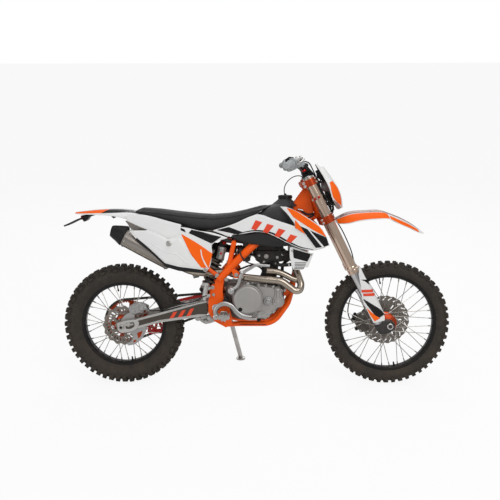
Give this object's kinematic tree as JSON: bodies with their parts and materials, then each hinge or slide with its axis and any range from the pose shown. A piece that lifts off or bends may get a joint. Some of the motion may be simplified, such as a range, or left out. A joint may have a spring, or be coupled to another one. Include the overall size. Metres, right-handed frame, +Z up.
{
  "type": "enduro motorcycle",
  "caption": "Off-road enduro motorcycle parked on its side stand, with a steering fork and spoked wheels that turn.",
  "frame": {"origin": "on the ground, at the middle of the whole motorcycle's bounding box seen from above", "axes": "+X forwards, +Y to the rider's left, the side it leans on its stand, +Z up"},
  "size_m": [2.146, 0.8156, 1.3192],
  "materials": {
    "tyre_black": "near-black knobbly rubber with brownish dust",
    "rim_black": "black anodised, satin",
    "hub_orange": "dark orange anodised hub and sprocket, steel spokes",
    "disc_steel": "ground steel, satin",
    "clamp_orange": "dark orange anodised, satin",
    "tube_bronze": "bronze anodised, satin",
    "leg_silver": "bright steel tubes with dark axle lugs",
    "plastic_white": "white plastic, half gloss",
    "plastic_orange": "bright orange plastic, half gloss",
    "plastic_grey": "dark grey grained plastic",
    "plastic_black": "black grained plastic",
    "lamp_clear": "clear lamp lens over a bright reflector",
    "bar_black": "black, satin",
    "grip_grey": "grey ribbed rubber",
    "hose_black": "black rubber",
    "silver_cast": "silver cast aluminium",
    "frame_orange": "orange powder coat",
    "arm_grey": "grey aluminium, brushed edges",
    "shock_white": "white spring and dark damper",
    "engine_grey": "grey cast aluminium",
    "cylinder_black": "black cast aluminium",
    "radiator_silver": "bare aluminium core with dark guard",
    "header_steel": "steel with bronze heat tint",
    "muffler_grey": "titanium grey, brushed",
    "tank_black": "black moulded plastic",
    "seat_black": "matte black grip vinyl",
    "lamp_red": "red lens",
    "steel_plain": "bare steel",
    "chain_black": "oiled black steel",
    "guide_red": "dark red plastic"
  },
  "bodies": {
    "front_wheel": {"front_tyre": "tyre_black", "front_rim": "rim_black", "front_hub_and_spokes": "hub_orange", "front_brake_disc": "disc_steel"},
    "rear_wheel": {"rear_tyre": "tyre_black", "rear_rim": "rim_black", "rear_hub_and_sprocket": "hub_orange", "rear_brake_disc": "disc_steel"},
    "fork": {"triple_clamps": "clamp_orange", "fork_outer_tubes": "tube_bronze", "fork_legs": "leg_silver", "fork_guards": "plastic_grey", "front_fender": "plastic_white", "headlight_mask": "plastic_white", "headlight": "lamp_clear", "handlebar": "bar_black", "hand_grips": "grip_grey", "hand_controls": "bar_black", "front_caliper": "silver_cast", "front_brake_hose": "hose_black"},
    "side_stand": {"side_stand": "steel_plain"},
    "chassis": {"main_frame": "frame_orange", "swingarm": "arm_grey", "shock_absorber": "shock_white", "suspension_linkage": "silver_cast", "subframe": "silver_cast", "crankcase": "engine_grey", "clutch_cover": "engine_grey", "flywheel_cover": "engine_grey", "cylinder": "cylinder_black", "cylinder_head": "engine_grey", "carburettor": "silver_cast", "airbox": "plastic_black", "radiators": "radiator_silver", "exhaust_header": "header_steel", "muffler": "muffler_grey", "fuel_tank": "tank_black", "fuel_cap": "plastic_black", "seat": "seat_black", "shrouds": "plastic_white", "lower_covers": "plastic_grey", "side_panels": "plastic_white", "rear_fender": "plastic_orange", "tail_lamp": "lamp_red", "plate_holder": "plastic_black", "footpegs": "steel_plain", "brake_pedal": "silver_cast", "shift_lever": "silver_cast", "kick_starter": "silver_cast", "rear_caliper": "silver_cast", "rear_master_cylinder": "silver_cast", "chain": "chain_black", "chain_guide": "guide_red", "breather_hose": "hose_black"}
  },
  "joints": [
    {"name": "steering", "type": "hinge", "parent": "chassis", "child": "fork", "pos_m": [0.66905, -0.15647, 0.31157], "axis": [-0.4461, 0.1554, 0.8814], "range_deg": [-42, 42]},
    {"name": "front_wheel_spin", "type": "hinge", "parent": "fork", "child": "front_wheel", "pos_m": [0.72991, -0.1512, 0.34144], "axis": [0, 0.9848, -0.1736], "continuous": true},
    {"name": "rear_wheel_spin", "type": "hinge", "parent": "chassis", "child": "rear_wheel", "pos_m": [-0.74009, -0.15293, 0.33184], "axis": [0, 0.9848, -0.1736], "continuous": true},
    {"name": "stand_fold", "type": "hinge", "parent": "chassis", "child": "side_stand", "pos_m": [-0.15509, -0.0135, 0.31629], "axis": [0.163, 0.9251, 0.343], "range_deg": [0, 101.5]}
  ]
}
